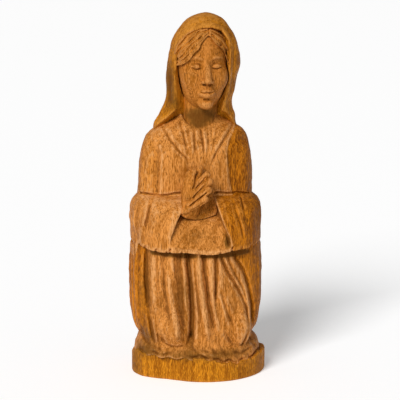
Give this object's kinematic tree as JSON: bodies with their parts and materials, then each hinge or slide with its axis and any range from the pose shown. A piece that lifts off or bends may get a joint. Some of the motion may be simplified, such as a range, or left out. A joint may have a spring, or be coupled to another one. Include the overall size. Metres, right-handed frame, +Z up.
{
  "type": "kneeling madonna statue",
  "caption": "Small one-block wooden carving of a kneeling, veiled woman with praying hands, wide sleeves and a folded gown, on a thin sawn plinth.",
  "frame": {"origin": "middle of the plinth's underside", "axes": "+Z up, -Y the way the figure faces, +X the figure's own left"},
  "size_m": [0.068, 0.056, 0.18],
  "materials": {
    "base": "satin wax on hand-sawn wood, faint knife marks",
    "gown": "satin waxed carved wood",
    "cloak": "satin waxed carved wood",
    "veil": "satin waxed carved wood, worn smooth",
    "hair": "fine gouge-cut strands, satin wax",
    "skin": "smooth carved wood, satin wax"
  },
  "bodies": {
    "root": {"base": "base", "gown_hem": "gown", "skirt_right": "gown", "skirt_left": "gown", "cloak_right_side": "cloak", "cloak_left_side": "cloak", "cloak_back": "cloak", "waist_panel": "gown", "right_sleeve": "cloak", "left_sleeve": "cloak", "right_upper_arm": "cloak", "left_upper_arm": "cloak", "bodice": "gown", "right_hand": "skin", "left_hand": "skin", "neck": "skin", "head": "skin", "hair_right": "hair", "hair_left": "hair", "veil": "veil", "veil_end_right": "veil", "veil_end_left": "veil"}
  },
  "joints": []
}
